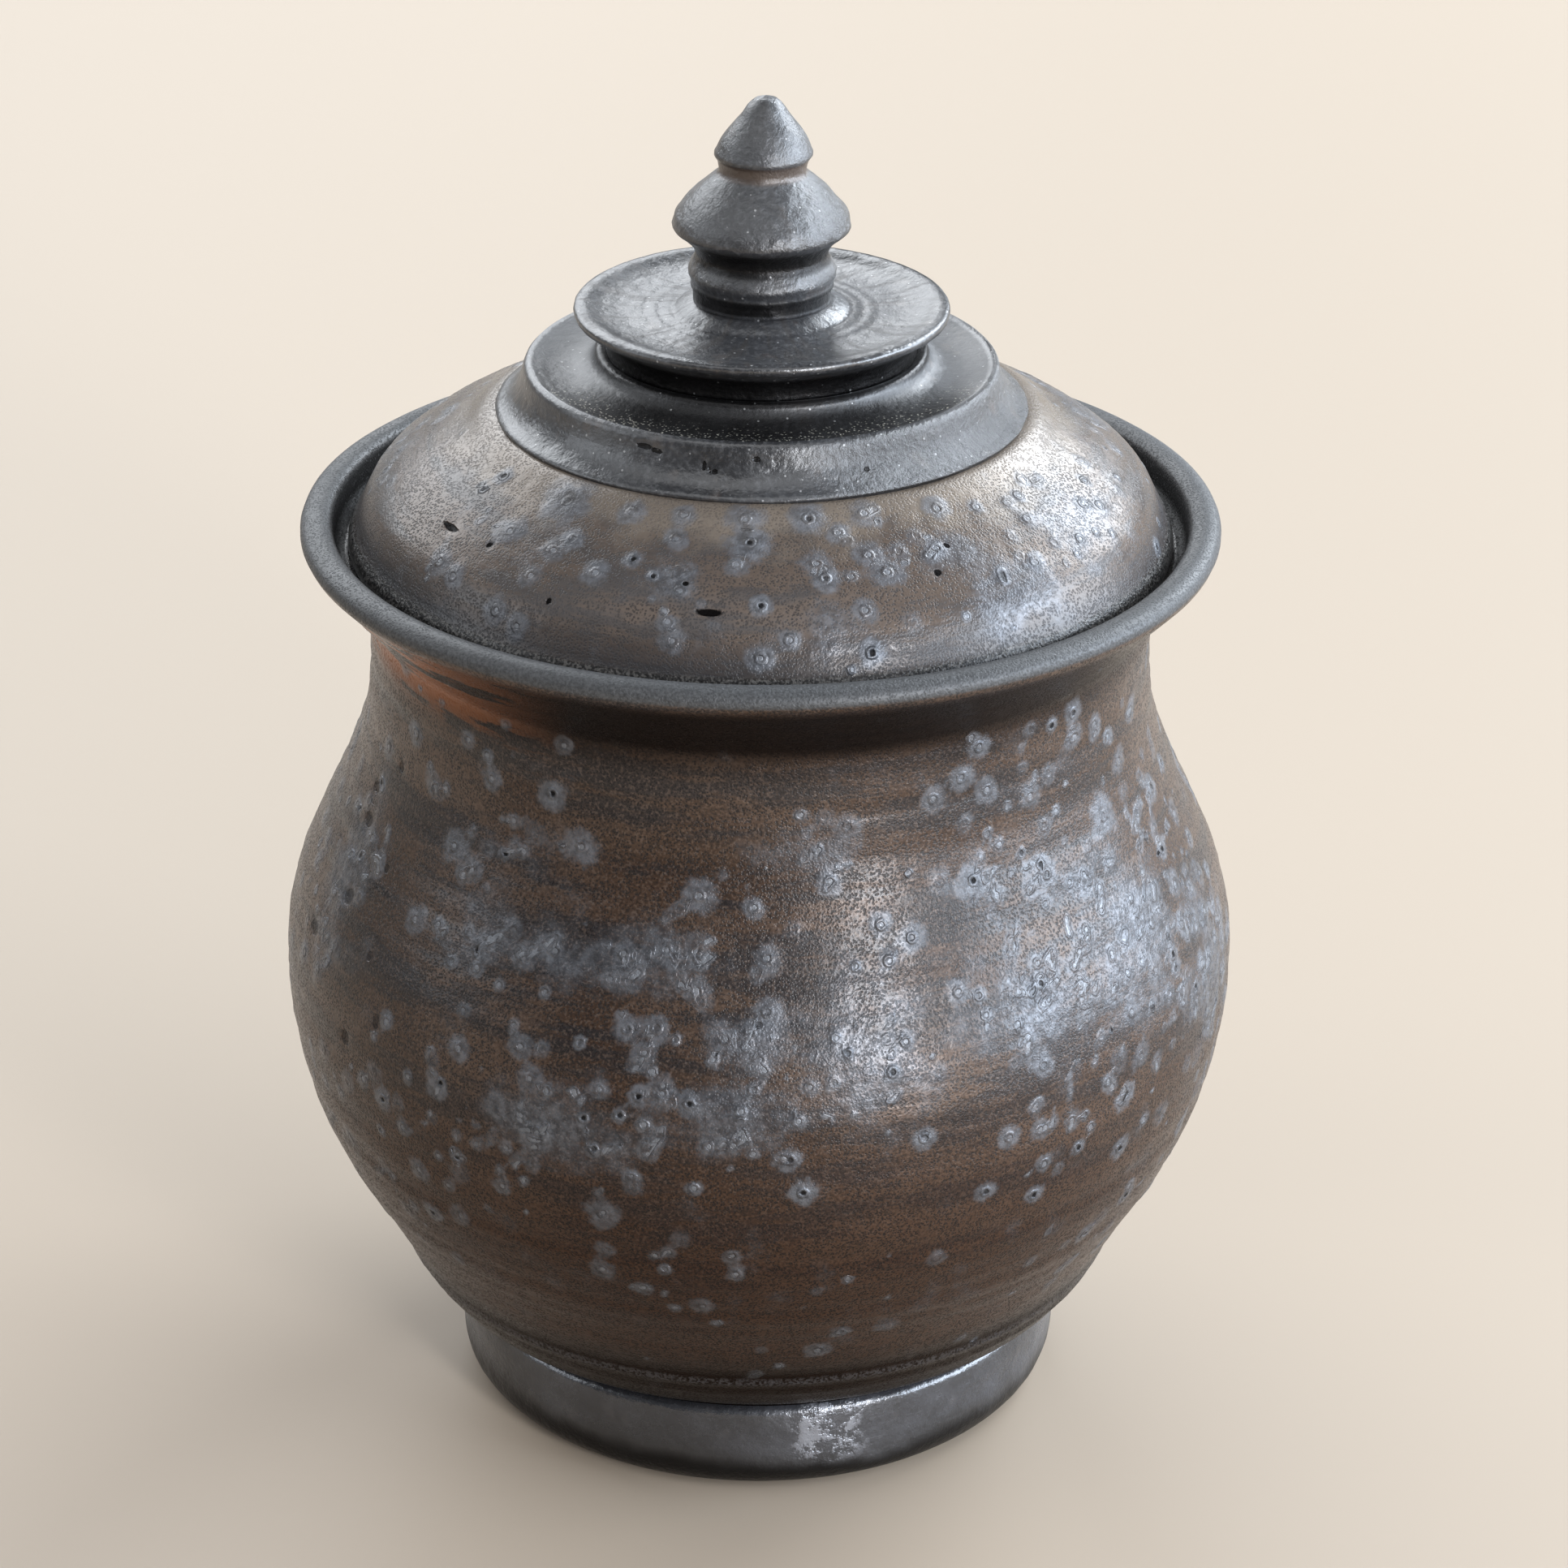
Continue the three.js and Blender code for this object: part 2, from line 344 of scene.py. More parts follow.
# %% [markdown]
# ## The bowl
# Belly, neck and flared rim are one thrown wall on the real jar, so they are one piece here too.
# The outside gets a ring of vertices about every 0.9 mm, fine enough for throwing rings, blisters
# and dents to be true shape. The inside, which the lid hides, keeps wider steps.

# %% Bowl outline
OUTSIDE_STEP, INSIDE_STEP = 0.93, 5
BELOW_RIM_TOP = 126.6 * MM  # the round of the rim is left out of the outside wall

bowl_line, _ = section_of("bowl_body")
rim_turn = max(range(len(bowl_line)), key=lambda i: bowl_line[i].y)
bowl_fine = refined(bowl_line, lambda i: (OUTSIDE_STEP if i < rim_turn else INSIDE_STEP) * MM)
rim_peak = bowl_fine.index(max(bowl_fine, key=lambda p: p.y))
bowl_outside = [p for p in bowl_fine if p.y <= BELOW_RIM_TOP][:rim_peak]
print("bowl outline:", len(bowl_line), "points drawn through", len(bowl_fine))

# %% Bowl blisters
# Azimuth in degrees from +X, anticlockwise from above (-90 is the front), height and size in mm.
FRONT_BLISTERS = [
    (-120, 106, 2.2), (-115, 100, 2.6), (-136, 95, 2.4), (-98, 96, 2.3), (-81, 97, 1.4),
    (-74, 92, 1.8), (-89, 89, 2.2), (-70, 90, 2.2), (-60, 95, 2.8), (-48, 93, 1.8),
    (-34, 96, 3.0), (-56, 87, 1.4), (-51, 83, 1.6), (-65, 83, 1.8), (-89, 83, 2.2),
    (-38, 82, 1.6), (-29, 79, 1.1), (-139, 85, 2.2), (-127, 73, 2.0), (-117, 72, 2.2),
    (-101, 73, 2.0), (-85, 60, 2.0), (-63, 56, 1.6), (-56, 53, 1.6), (-108, 55, 2.4),
    (-101, 47, 1.2), (-104, 43, 1.6), (-56, 63, 1.7), (-50, 58, 1.4), (-93, 50, 1.4),
    (-139, 72, 1.6), (-143, 62, 1.6), (-71, 66, 1.8), (-43, 62, 1.6),
]
# Silvery patches, where many blisters ran together: azimuth, height, half width, half height.
SILVER_PATCHES = [
    (-77, 78, 12, 10), (-112, 87, 9, 5), (-101, 88, 7, 4), (-127, 87, 8, 5), (-94, 70, 12, 5),
    (-56, 79, 8, 5), (-113, 66, 10, 6), (-83, 102, 9, 3.5), (-156, 84, 7, 12), (-36, 82, 10, 14),
    (-90, 79, 6, 4), (-20, 70, 12, 12), (40, 80, 16, 9), (75, 68, 12, 7), (110, 84, 14, 8),
    (150, 72, 12, 10), (10, 90, 9, 6), (170, 92, 9, 6), (90, 98, 9, 4),
]
SCATTER_TRIES = 3600
FRAYED = 1.35  # a patch fades out at this many of its own half widths

chance = random.Random(11)
bowl_blisters = Blisters()
for azimuth, height, size in FRONT_BLISTERS:
    spot = on_wall(bowl_outside, azimuth, height * MM)
    bowl_blisters.add(spot, size, chance.choice((0.1, 0.25, 0.35)), chance.uniform(0.5, 1))


def patch_at(azimuth, height):
    """How deep inside a silvery patch a place is, from 0 at its edge to 1."""
    deepest = 0
    for middle, level, across, up in SILVER_PATCHES:
        reach = hypot(turn_between(azimuth, middle) * 1.1 / across, (height - level) / up)
        deepest = max(deepest, 1 - reach / FRAYED)
    return max(0, deepest)


for _ in range(SCATTER_TRIES):
    azimuth, height = chance.uniform(-180, 180), chance.triangular(22, 120, 76)
    spot = on_wall(bowl_outside, azimuth, height * MM)
    crowd = noise.noise(spot * 45) + 0.2 + 1.5 * patch_at(azimuth, height)
    crowd += 0.35 * soft_step(-72, -50, azimuth) * soft_step(10, -10, azimuth)
    if chance.random() < crowd:
        size = chance.choice((0.6, 0.8, 1.0, 1.2, 1.5, 1.9))
        pit = chance.choice((0, 0.05, 0.1, 0.2, 0.3))
        bowl_blisters.add(spot, size, pit, chance.uniform(0.15, 0.9))
bowl_blisters.ready()

# %% [markdown]
# ## Relief
# The relief is what fingers, trimming tools and the kiln leave on a turned shape: low throwing
# rings, a slight wobble, swells and pits at the blisters, dents and a rough crust where the glaze
# went silvery. Sculpting brushes would do this by hand. A function of place gives the same
# result every time, so each vertex moves along its own normal by the sum of these marks.


# %% Marks in the clay
def throwing_rings(point, azimuth, size):
    """Low rings left by the fingers, wound slowly upwards, uneven around the wheel."""
    climb = point.z * 1000 + azimuth / 360 * 1.2
    drift = noise.noise(Vector((cos(radians(azimuth)), sin(radians(azimuth)), climb * 0.11)))
    broad = noise.noise(Vector((1.7, drift * 0.25, climb * 0.42)))
    tight = noise.noise(Vector((9.1, drift * 0.3, climb * 1.1)))
    return size * (broad + 0.55 * tight) * MM


def blister_relief(blisters, which, near):
    """A low swell over the whole blister, with a pit in the middle of the open ones."""
    size, pit = blisters.sizes[which], blisters.pits[which]
    swell = 0.075 * size * max(0, 1 - near * near) ** 2
    reach = max(0.4, 0.75 * MM / size)
    hole = -pit * MM * max(0, 1 - (near / reach) ** 2) ** 2
    return swell + hole


def stored(mesh, name, kind, values):
    """Keeps one value or vector for each vertex, for the glaze to read."""
    layer = mesh.attributes.new(name, kind, "POINT")
    key = "vector" if kind == "FLOAT_VECTOR" else "value"
    layer.data.foreach_set(key, values)


FARTHEST = 3  # halo widths: beyond this a blister no longer counts
CRUST_HEIGHT = 0.08 * MM
THROWN_TOP = 126 * MM  # above this the bowl is its smooth rim


def work_surface(piece, marks, blisters=None, patch=None, slots=None):
    """Moves each vertex along its normal by marks(), and stores what the glaze reads."""
    offsets, nears, tones, patches = [], [], [], []
    tears, gaps, moves, deepest = [], [], [], 0
    for v in piece.data.vertices:
        azimuth = degrees(atan2(v.co.y, v.co.x))
        push = marks(v.co, azimuth)
        if slots:
            across, up, reach, _ = torn_reach(v.co, azimuth, slots)
            tears.extend((across, up, 0))
            gaps.append(reach)
        if blisters:
            near, which = blisters.nearest(v.co)
            apart = (v.co - blisters.points[which]) / MM
            if near > FARTHEST:
                apart *= FARTHEST / near
            here = patch(v.co, azimuth)
            offsets.extend(apart)
            nears.append(min(near, FARTHEST))
            tones.append(blisters.tones[which])
            patches.append(here)
            if v.co.z < THROWN_TOP or piece.name.startswith("lid"):
                push += blister_relief(blisters, which, near)
                push += min(0.6, max(0, here)) * CRUST_HEIGHT * noise.noise(v.co * 420)
        moves.append(v.normal * push)
        deepest = max(deepest, abs(push))
    for v, move in zip(piece.data.vertices, moves):
        v.co += move
    if blisters:
        stored(piece.data, "blister_offset", "FLOAT_VECTOR", offsets)
        stored(piece.data, "blister_near", "FLOAT", nears)
        stored(piece.data, "blister_tone", "FLOAT", tones)
        stored(piece.data, "silver", "FLOAT", patches)
    if slots:
        stored(piece.data, "torn_offset", "FLOAT_VECTOR", tears)
        stored(piece.data, "torn_near", "FLOAT", gaps)
    piece.data.update()
    print(piece.name, "relief up to", round(deepest * 1000, 2), "mm")


# %% Dents and slots
class Slots:
    """Marks torn by grit: azimuth, place, half length, half width and depth, in degrees and mm.

    The place is a height on a wall, and a radius on a dome.
    """

    def __init__(self, marks, by_height):
        self.marks, self.by_height = marks, by_height


def torn_reach(point, azimuth, slots):
    """Where a point lies in its nearest slot, across and up, where 1 is the slot's edge."""
    around = hypot(point.x, point.y) * 1000
    place = point.z * 1000 if slots.by_height else around
    nearest = (4, 4, 4, 0)  # far outside every slot
    for middle, level, long, wide, deep in slots.marks:
        across = turn_between(azimuth, middle) * pi / 180 * around / long
        up = (place - level) / wide
        if hypot(across, up) < nearest[2]:
            nearest = across, up, hypot(across, up), deep
    return nearest


def torn(point, azimuth, slots):
    """How far the slots push a point in, in metres."""
    _, _, reach, depth = torn_reach(point, azimuth, slots)
    return -0.6 * depth * MM * soft_step(1.4, 0.3, reach)


BOWL_DENTS = Slots([
    (-157, 91, 1.3, 1.0, 0.5), (-154, 82, 1.2, 1.0, 0.5), (-160, 75, 1.6, 0.9, 0.5),
    (-158, 95, 1.0, 0.8, 0.4), (-147, 66, 0.9, 1.1, 0.45), (-141, 71, 0.6, 1.1, 0.45),
    (-152, 100, 0.7, 0.7, 0.4), (-29, 78.5, 0.6, 0.6, 0.45), (-71, 66.5, 0.6, 0.5, 0.35),
    (-90, 81.5, 0.5, 0.4, 0.3), (-148, 88, 0.6, 0.5, 0.4), (-145, 78, 0.5, 0.6, 0.4),
    (-25, 90, 0.6, 0.6, 0.4), (-36, 72, 0.5, 0.4, 0.4), (-24, 62, 0.6, 0.4, 0.4),
    (60, 84, 1.1, 0.9, 0.45), (95, 58, 1.4, 0.9, 0.45), (132, 78, 1.0, 1.0, 0.45),
    (20, 66, 1.0, 0.6, 0.4), (172, 70, 0.7, 0.9, 0.4), (150, 94, 0.7, 0.5, 0.4),
], True)


# %% Turn and work the bowl
def bowl_marks(point, azimuth):
    """Rings and wobble on the outside, dents, and the trimmed ridge above the foot."""
    height = point.z * 1000
    radius = hypot(point.x, point.y) * 1000
    outside = radius > radius_at(bowl_outside, point.z) * 1000 - 1.5 or height > 122
    if not outside or height < 14 or (height > 121 and radius < 56.2):
        return 0
    calm = soft_step(14, 20, height) * (1 - 0.75 * soft_step(118, 123, height))
    wobble = 0.22 * sin(radians(2 * azimuth + 40)) + 0.1 * sin(radians(3 * azimuth))
    push = calm * throwing_rings(point, azimuth, 0.2) + calm * wobble * MM
    push += calm * 0.05 * MM * noise.noise(point * 900)
    ridge = 0.22 * MM * max(0, 1 - abs(height - 22.8) / 0.8)
    groove = 0.18 * MM * max(0, 1 - abs(height - 21.2) / 0.8)
    return push + ridge - groove + torn(point, azimuth, BOWL_DENTS)


def bowl_silver(point, azimuth):
    """How silvery the bowl's glaze is here, below 0 on the inside."""
    height = point.z * 1000
    if point.xy.length < radius_at(bowl_outside, point.z) - 2 * MM:
        return -1
    frayed = patch_at(azimuth, height) + 0.5 * noise.noise(point * 170)
    return frayed * soft_step(14, 24, height) * soft_step(120, 110, height)


jar_bowl = turned("jar_bowl", bowl_fine, False, 440)
work_surface(jar_bowl, bowl_marks, bowl_blisters, bowl_silver, BOWL_DENTS)

# %% [markdown]
# ## The foot ring
# A coil thrown onto the trimmed base. Its outer edge is rounded off by a sponge where it meets
# the table. The resting face and the seat under the bowl stay flat, so the jar still stands true.

# %% Foot
foot_line, foot_closed = section_of("foot_ring")
foot_fine = refined(foot_line, lambda i: 0.9 * MM, foot_closed)


def foot_marks(point, azimuth):
    """Low rings, calm at the resting face and at the seat."""
    height = point.z * 1000
    calm = soft_step(0.4, 3, height) * soft_step(13.4, 11.5, height)
    fine = 0.07 * MM * noise.noise(point * 420) + throwing_rings(point, azimuth, 0.14)
    return calm * (fine + 0.1 * MM * sin(radians(2 * azimuth)))


jar_foot = turned("jar_foot", foot_fine, foot_closed, 288)
work_surface(jar_foot, foot_marks)
for v in jar_foot.data.vertices:
    v.co.z = max(v.co.z, 0)  # nothing reaches below the table

# %% [markdown]
# ## The dome of the lid
# The lid is thrown upside down, so its rings run around the dome. It blisters like the bowl, and
# grit has torn a few slots in it. Its edge, wiped clean of glaze, stays rough.

# %% Dome
dome_line, _ = section_of("lid_dome")
seat_turn = next(i for i, p in enumerate(dome_line) if p.x > 53.2 * MM)
dome_fine = refined(dome_line, lambda i: (0.72 if i >= seat_turn else 3) * MM)
dome_outside = [p for p in dome_fine if p.y > 125 * MM and p.x > 1e-6]
dome_outside = dome_outside[dome_outside.index(max(dome_outside, key=lambda p: p.x)):]

# Azimuth in degrees, radius on the dome and size in mm.
DOME_BLISTERS = [
    (-129, 38, 3.2), (-115, 37.5, 1.6), (-105, 37, 1.5), (-105, 40, 1.5), (-93, 37, 2.2),
    (-81, 37, 2.0), (-70, 37, 1.9), (-55, 38, 1.6), (-76, 39, 1.4), (-92, 40, 2.5),
    (-135, 44, 2.0), (-125, 44.5, 1.6), (-123, 42.5, 1.6), (-116, 46, 1.6), (-111, 43.5, 1.2),
    (-126, 48, 1.4), (-129, 51.5, 1.7), (-125, 52, 1.6), (-94, 43, 1.4), (-81, 43, 1.8),
    (-80, 45, 1.6), (-72, 42.5, 1.8), (-70, 45, 2.0), (-103, 50, 1.2), (-102, 51.3, 1.5),
    (-90, 48, 1.2), (-86, 51, 1.2), (-90, 52, 1.5), (-75, 49, 1.5), (-75, 52, 1.5),
    (-139, 50.5, 1.5), (-143, 50, 1.7), (-45, 48, 1.5),
]
DOME_PATCHES = [
    (-102, 45, 5, 3), (-81, 49, 4, 3), (-57, 45, 6, 4), (-50, 50, 9, 3.5), (-54, 50, 6, 3),
    (-30, 46, 8, 5), (20, 44, 12, 5), (80, 48, 14, 4), (130, 43, 10, 4), (170, 49, 12, 4),
]
DOME_SLOTS = Slots([
    (-146.5, 46.6, 1.7, 0.35, 0.9), (-97.4, 48.8, 1.8, 0.32, 0.9), (-136.5, 46.4, 0.5, 0.35, 0.7),
    (-121.3, 49.9, 0.4, 0.3, 0.6), (-101.5, 45.8, 0.45, 0.3, 0.6), (35, 42, 1.6, 0.35, 0.8),
    (118, 47, 1.2, 0.35, 0.8), (-62, 46, 0.5, 0.4, 0.6), (-58, 43, 0.4, 0.4, 0.6),
], False)
DOME_TRIES = 420
DOME_SWELLING = 1.25  # halos on the dome spread wider than the blisters they surround

dome_blisters = Blisters()
for azimuth, radius, size in DOME_BLISTERS:
    spot = on_dome(dome_outside, azimuth, radius * MM)
    pit = chance.choice((0.08, 0.15, 0.25))
    dome_blisters.add(spot, size * DOME_SWELLING, pit, chance.uniform(0.5, 1))


def dome_patch_at(azimuth, radius):
    """How deep inside a silvery patch of the dome a place is, from 0 at its edge to 1."""
    deepest = 0
    for middle, level, across, up in DOME_PATCHES:
        turn = turn_between(azimuth, middle) * pi / 180 * radius
        deepest = max(deepest, 1 - hypot(turn / across, (radius - level) / up) / FRAYED)
    return max(0, deepest)


for _ in range(DOME_TRIES):
    azimuth, radius = chance.uniform(-180, 180), chance.uniform(36, 53)
    spot = on_dome(dome_outside, azimuth, radius * MM)
    crowd = noise.noise(spot * 55) + 0.2 + 1.6 * dome_patch_at(azimuth, radius)
    if chance.random() < crowd:
        size = chance.choice((0.6, 0.8, 1.0, 1.3, 1.6))
        dome_blisters.add(spot, size, chance.choice((0, 0.05, 0.1, 0.2)), chance.uniform(0.15, 0.9))
dome_blisters.ready()


def dome_marks(point, azimuth):
    """Rings around the dome, its slots, and the rough wiped edge."""
    radius, height = hypot(point.x, point.y) * 1000, point.z * 1000
    if height < height_at(dome_outside, point.xy.length) * 1000 - 1.5 or height < 123:
        return 0
    calm = soft_step(34.6, 36.5, radius) * soft_step(53.8, 52.6, radius)
    push = calm * throwing_rings(Vector((point.x, point.y, radius * MM)), azimuth, 0.1)
    push += calm * 0.05 * MM * noise.noise(point * 900)
    edge = soft_step(52.9, 53.6, radius) * 0.1 * MM * noise.noise(point * 1500)
    line = -0.3 * MM * max(0, 1 - abs(radius - 53.25) / 0.45)
    return push + edge + line + torn(point, azimuth, DOME_SLOTS)


def dome_silver(point, azimuth):
    """How silvery the dome's glaze is here."""
    radius = hypot(point.x, point.y) * 1000
    frayed = dome_patch_at(azimuth, radius) + 0.5 * noise.noise(point * 190)
    return frayed * soft_step(34.6, 37, radius)


lid_dome_shell = turned("lid_dome_shell", dome_fine, False, 480)
work_surface(lid_dome_shell, dome_marks, dome_blisters, dome_silver, DOME_SLOTS)

# %% [markdown]
# ## The collar, the saucer and the finial
# These three sections carry the gunmetal glaze. Their sharp edges were trimmed with a tool and
# their faces keep the tool's fine lines. Each is read from its CAD solid and turned again with
# finer rings, then marked by its own function.

# %% Collar
collar_line, _ = section_of("lid_collar")
collar_fine = refined(collar_line, lambda i: 0.6 * MM)
COLLAR_PITS = Slots([
    (-118, 145.4, 1.2, 0.3, 0.8), (-114.5, 145.1, 0.7, 0.2, 0.7), (-91, 145.2, 0.45, 0.3, 0.6),
    (-103, 144.2, 0.3, 0.5, 0.4), (-100.5, 143.6, 0.4, 0.25, 0.5), (48, 144.6, 1.2, 0.4, 0.6),
    (-66, 143.2, 0.4, 0.3, 0.4), (160, 144, 0.8, 0.4, 0.6),
], True)


def collar_marks(point, azimuth):
    """Uneven sides, rougher at the right, a run of glaze at the hem and fine lines in the dish."""
    radius, height = hypot(point.x, point.y) * 1000, point.z * 1000
    if radius < 20.6 or height < 140.7:
        return 0
    side = soft_step(30.2, 31.2, radius)
    push = side * 0.1 * MM * noise.noise(point * 330)
    push += side * throwing_rings(point, azimuth, 0.1)
    rough = soft_step(-95, -60, azimuth) * soft_step(10, -20, azimuth)
    push += side * rough * 0.07 * MM * noise.noise(point * 500)
    push += side * rough * 0.25 * MM * soft_step(143.6, 143.2, height)
    lip = -0.16 * MM * max(0, 1 - abs(radius - 29.3) / 0.45)
    hem = soft_step(33.0, 34.2, radius) * soft_step(142.6, 141.2, height)
    push += hem * MM * (0.25 * noise.noise(Vector((point.x, point.y, 0.3)) * 210) + 0.05)
    dish = (1 - side) * 0.05 * MM * noise.noise(Vector((radius * 1.4, azimuth * 0.006, 3)))
    return push + lip + dish + side * torn(point, azimuth, COLLAR_PITS)


lid_collar_ring = turned("lid_collar_ring", collar_fine, False, 384)
work_surface(lid_collar_ring, collar_marks, slots=COLLAR_PITS)

# %% Saucer
saucer_line, _ = section_of("knob_saucer")
saucer_fine = refined(saucer_line, lambda i: 0.45 * MM)
# Radius, half width and depth in mm.
SAUCER_GROOVES = ((11.35, 0.5, 0.22), (13.2, 0.45, 0.12), (15.1, 0.5, 0.12))


def saucer_marks(point, azimuth):
    """The grooves around the boss and the tool's fine lines on the top."""
    radius, height = hypot(point.x, point.y) * 1000, point.z * 1000
    if radius < 9.6 or height < 148.6:
        return 0
    top = soft_step(152.8, 153.2, height) if radius < 23.4 else 0
    uneven = 1 + 0.5 * noise.noise(Vector((radius, azimuth * 0.02, 0)))
    cut = sum(deep * max(0, 1 - abs(radius - at) / wide) for at, wide, deep in SAUCER_GROOVES)
    fine = 0.012 * noise.noise(Vector((radius * 2.2, azimuth * 0.02, 8)))
    rough = 0.05 * noise.noise(point * 500)
    return MM * (top * (fine - cut * uneven) + rough)


knob_saucer_dish = turned("knob_saucer_dish", saucer_fine, False, 320)
work_surface(knob_saucer_dish, saucer_marks)

# %% Finial
finial_line, _ = section_of("knob_finial")
finial_fine = refined(finial_line, lambda i: 0.4 * MM)
FINIAL_SEAT = 155.2  # mm above the table
# Height above the seat, half width and rise of each trimmed line, in mm.
FINIAL_LINES = (
    (2.05, 0.35, 0.2), (3.0, 0.4, -0.12), (19.4, 0.55, 0.22), (18.5, 0.5, -0.12),
)


def finial_marks(point, azimuth):
    """Trimmed lines, grit on the right of the bulb and at its foot, and a blunt tip."""
    height = point.z * 1000 - FINIAL_SEAT
    if height < 0.3:
        return 0
    push = throwing_rings(point, azimuth, 0.06) + 0.07 * MM * noise.noise(point * 380)
    for level, wide, proud in FINIAL_LINES:
        push += proud * MM * max(0, 1 - abs(height - level) / wide)
    grit = soft_step(-100, -60, azimuth) * soft_step(8.5, 10, height) * soft_step(17, 14, height)
    grit += soft_step(3, 3.6, height) * soft_step(6, 5, height)
    blunt = 0.28 * MM * soft_step(24.2, 25.6, height) * soft_step(26.8, 26.1, height)
    return push + blunt + grit * 0.15 * MM * noise.noise(point * 620)


knob_finial_tip = turned("knob_finial_tip", finial_fine, False, 240)
work_surface(knob_finial_tip, finial_marks)
TIP_LEAN, BULB_LEAN = 0.42 * MM, 0.1 * MM
for v in knob_finial_tip.data.vertices:
    lean = soft_step(168, 182, v.co.z * 1000)
    v.co.x += TIP_LEAN * lean - BULB_LEAN * soft_step(158, 166, v.co.z * 1000) * (1 - lean)
knob_finial_tip.data.update()

# %% [markdown]
# ## Writing a glaze as sums
# A glaze is built from masks and mixes. In the node editor that soon becomes a tangle, so a small
# class wraps one socket and lets plain Python sums add the Math nodes. Any other node comes from
# one method, which takes its type, its settings and the values or links of its sockets.


# %% Shader sums
class Glaze:
    """One output socket of a material's node tree."""

    def __init__(self, tree, socket=None):
        self.tree, self.socket = tree, socket

    def node(self, kind, settings=None, out=0, **sockets):
        """Adds a node: settings first, then socket values or links by name or number."""
        made = self.tree.nodes.new("ShaderNode" + kind)
        for key, value in (settings or {}).items():
            setattr(made, key, value)
        for key, value in sockets.items():
            number = key[1:] if key[0] == "i" and key[1:].isdigit() else None
            slot = made.inputs[int(number)] if number else made.inputs[key.replace("_", " ")]
            if isinstance(value, Glaze):
                self.tree.links.new(value.socket, slot)
            else:
                slot.default_value = value
        return Glaze(self.tree, made.outputs[out])

    def sum(self, how, *terms):
        return self.node("Math", {"operation": how}, **{f"i{i}": t for i, t in enumerate(terms)})

    def __add__(self, other):
        return self.sum("ADD", self, other)

    __radd__ = __add__

    def __sub__(self, other):
        return self.sum("SUBTRACT", self, other)

    def __rsub__(self, other):
        return self.sum("SUBTRACT", other, self)

    def __mul__(self, other):
        return self.sum("MULTIPLY", self, other)

    __rmul__ = __mul__

    def most(self, other):
        return self.sum("MAXIMUM", self, other)

    def between(self, low, high):
        """Runs smoothly from 0 to 1 as this value runs from low to high."""
        return self.node(
            "MapRange", {"interpolation_type": "SMOOTHSTEP"},
            i0=self, i1=low, i2=high, i3=0.0, i4=1.0,
        )

    def blend(self, first, second):
        """A colour that goes from first to second as this value goes from 0 to 1."""
        mix = {"data_type": "RGBA", "clamp_factor": True}
        first, second = [c if isinstance(c, Glaze) else (*c, 1) for c in (first, second)]
        return self.node("Mix", mix, out=2, i0=self, i6=first, i7=second)

    def times(self, vector):
        """This vector stretched along each axis."""
        return self.node("VectorMath", {"operation": "MULTIPLY"}, i0=self, i1=vector)

    def length(self):
        """The length of this vector."""
        return self.node("VectorMath", {"operation": "LENGTH"}, out=1, i0=self)

    def noise(self, scale, detail=2.0, roughness=0.5):
        """Even noise over this place, about 0.5 in the middle of its range."""
        return self.node(
            "TexNoise", {"noise_dimensions": "3D"},
            Vector=self, Scale=scale, Detail=detail, Roughness=roughness,
        )

    def cells(self, scale):
        """The distance to the middle of the nearest cell."""
        return self.node(
            "TexVoronoi", {"feature": "F1"}, Vector=self, Scale=scale, Randomness=1.0,
        )

    def stored_value(self, name):
        return self.node("Attribute", {"attribute_name": name}, out=2)

    def stored_vector(self, name):
        return self.node("Attribute", {"attribute_name": name}, out=1)


# %% Start and end a glaze
def new_glaze(name):
    """A new material with its node tree, its surface node and the start of its sums."""
    made = bpy.data.materials.new(name)
    made.use_nodes = True
    tree = made.node_tree
    return made, tree, tree.nodes["Principled BSDF"], Glaze(tree)


def where(start):
    """The place on the piece, its x and y in metres, and its height and radius in mm."""
    place = start.node("TexCoord", out=3)
    parts = place.node("SeparateXYZ", Vector=place).socket.node.outputs
    x, y, z = [Glaze(start.tree, part) for part in parts]
    flat = place.times((1.0, 1.0, 0.0))
    return place, x, y, z * 1000.0, flat, flat.length() * 1000.0


def torn_edge(start, ragged, fray):
    """1 inside the torn slots that the relief stored, with a frayed edge."""
    reach = start.stored_vector("torn_offset").length() + (ragged - 0.5) * fray
    return reach.between(1.15, 0.8) * start.stored_value("torn_near").between(2.2, 1.6)


def join(tree, surface, **sockets):
    """Links the last sums of a glaze to the surface node."""
    for key, value in sockets.items():
        tree.links.new(value.socket, surface.inputs[key.replace("_", " ")])


# Painted shade: a near black put where holes, slots, hollows and gaps lie in shade.
SHADE_BLACK = (0.008, 0.007, 0.007)  # almost black: the inside of holes and hollows


# %% [markdown]
# ## The umber glaze
# An iron and manganese glaze fires to a satin umber with dark freckles. The wheel drags it into
# level streaks, darker where it is thin. Around each blister it crystallises to a blue-grey halo
# with a pale rim, and where blisters crowd together it turns into a silvery crust. Colour alone
# could come from one painted map, but masks stay sharp at any distance and suit every lit side.
# The masks come first, then the colours that they mix, then gloss and fine relief.

# %% Umber: blisters, slots and crust
umber, tree, surface, start = new_glaze("speckled_umber_glaze")
place, x, _, height, _, radius = where(start)
near = start.stored_value("blister_near")
tone = start.stored_value("blister_tone")
silver = start.stored_value("silver")
ragged = place.noise(1500.0, 3.0, 0.6)
lobed = place.noise(420.0, 2.0)
off_centre = start.stored_vector("blister_offset").length() + (ragged - 0.5) * 0.35

